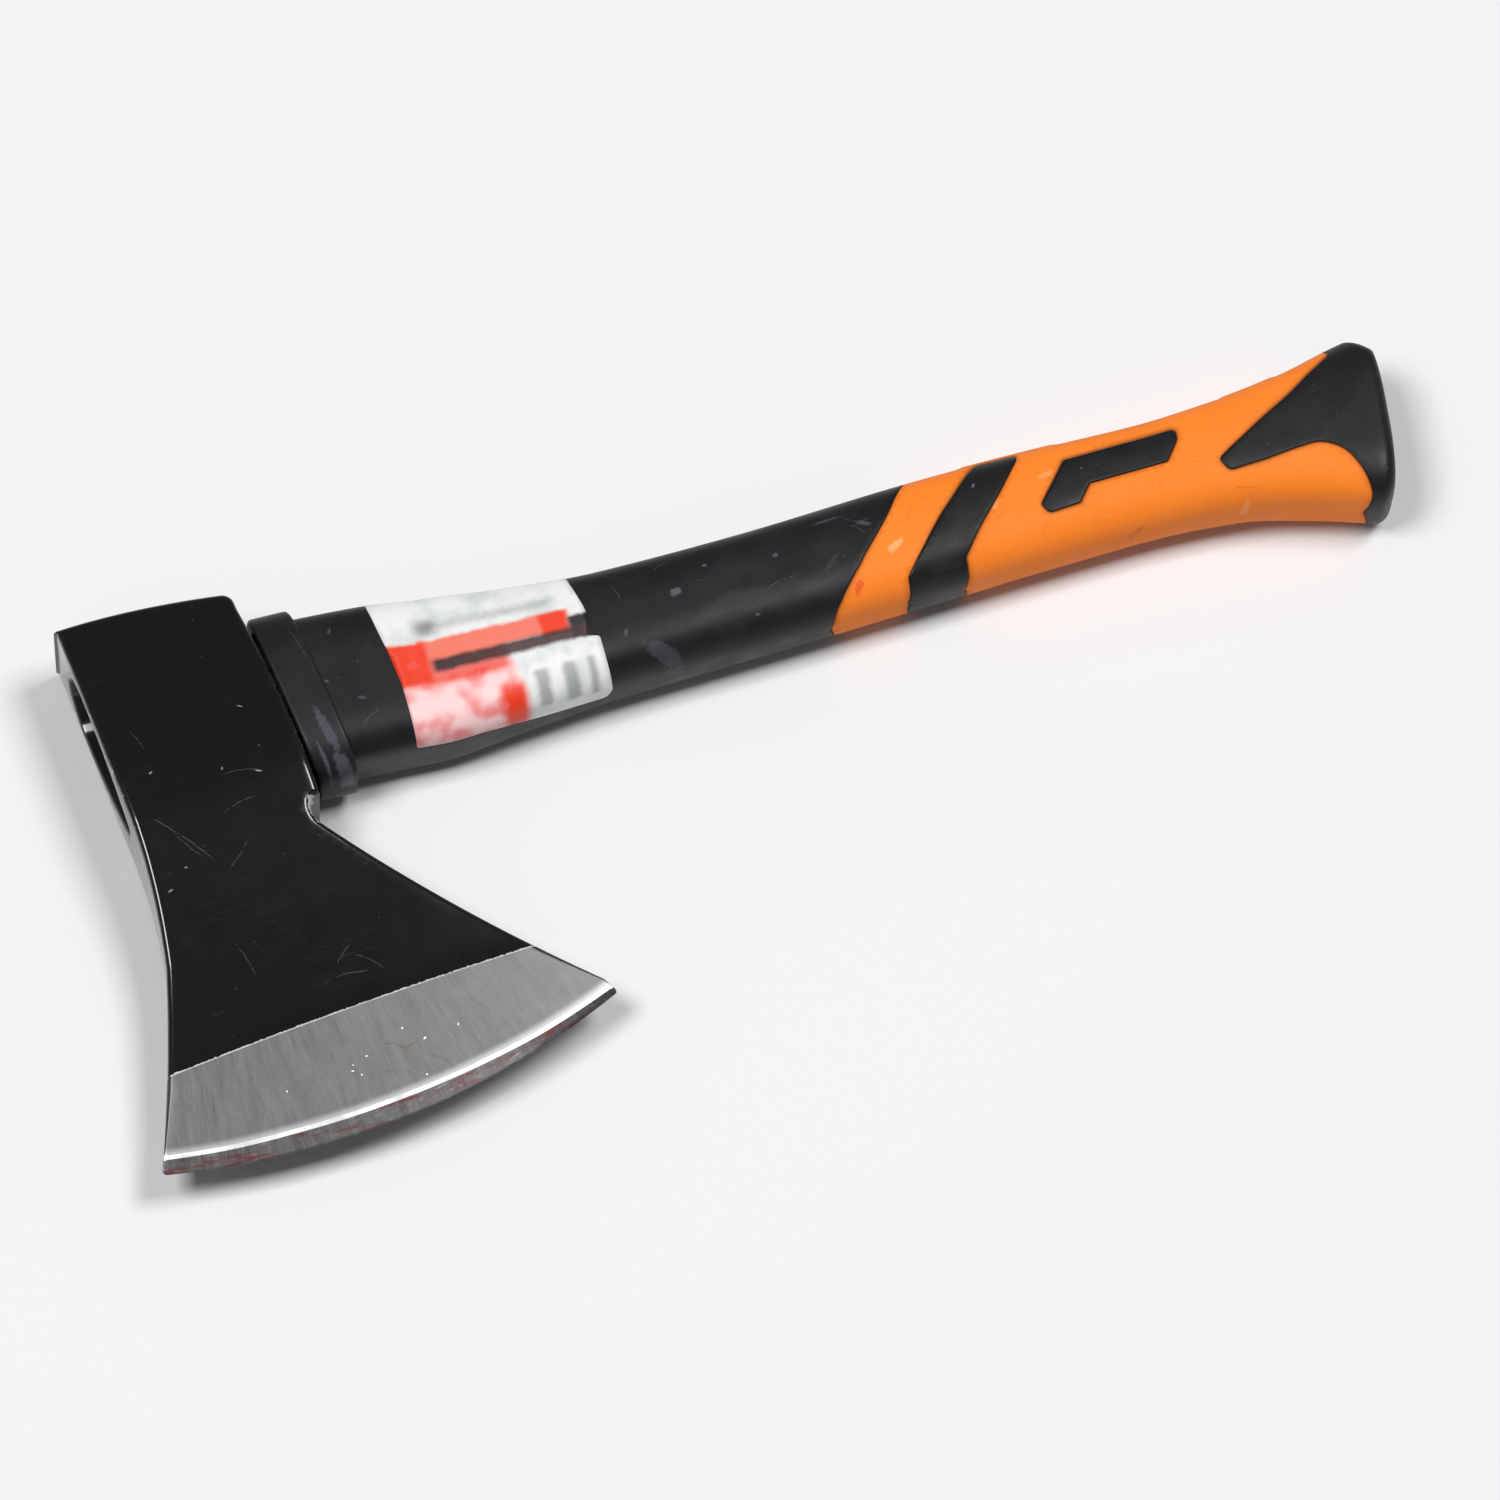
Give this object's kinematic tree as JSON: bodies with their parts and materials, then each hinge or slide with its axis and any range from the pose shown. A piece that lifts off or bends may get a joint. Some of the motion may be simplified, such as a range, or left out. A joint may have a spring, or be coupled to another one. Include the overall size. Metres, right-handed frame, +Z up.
{
  "type": "fire axe",
  "caption": "Short-handled forged axe with a flared bit, black painted head with ground bevels, and a black moulded handle with a soft orange grip.",
  "frame": {"origin": "middle of the bounding box, on the surface that the axe lies on", "axes": "+X along the handle from the head to the butt; +Y towards the poll, the cutting edge faces -Y; +Z up from the lower cheek"},
  "size_m": [0.375, 0.1554, 0.03],
  "materials": {
    "head_steel": "semi-gloss black paint, scratched, with bare ground steel on the bevels",
    "glass_fibre": "pultruded glass-fibre rod, hidden inside",
    "adhesive": "black cast adhesive",
    "jacket_plastic": "satin charcoal hard plastic, scuffed",
    "grip_rubber": "soft matt orange overmould",
    "label_print": "satin printed film, plain colour blocks"
  },
  "bodies": {
    "root": {"axe_head": "head_steel", "core_rod": "glass_fibre", "eye_adhesive": "adhesive", "handle_jacket": "jacket_plastic", "grip_overmould": "grip_rubber", "label_film": "label_print"}
  },
  "joints": []
}
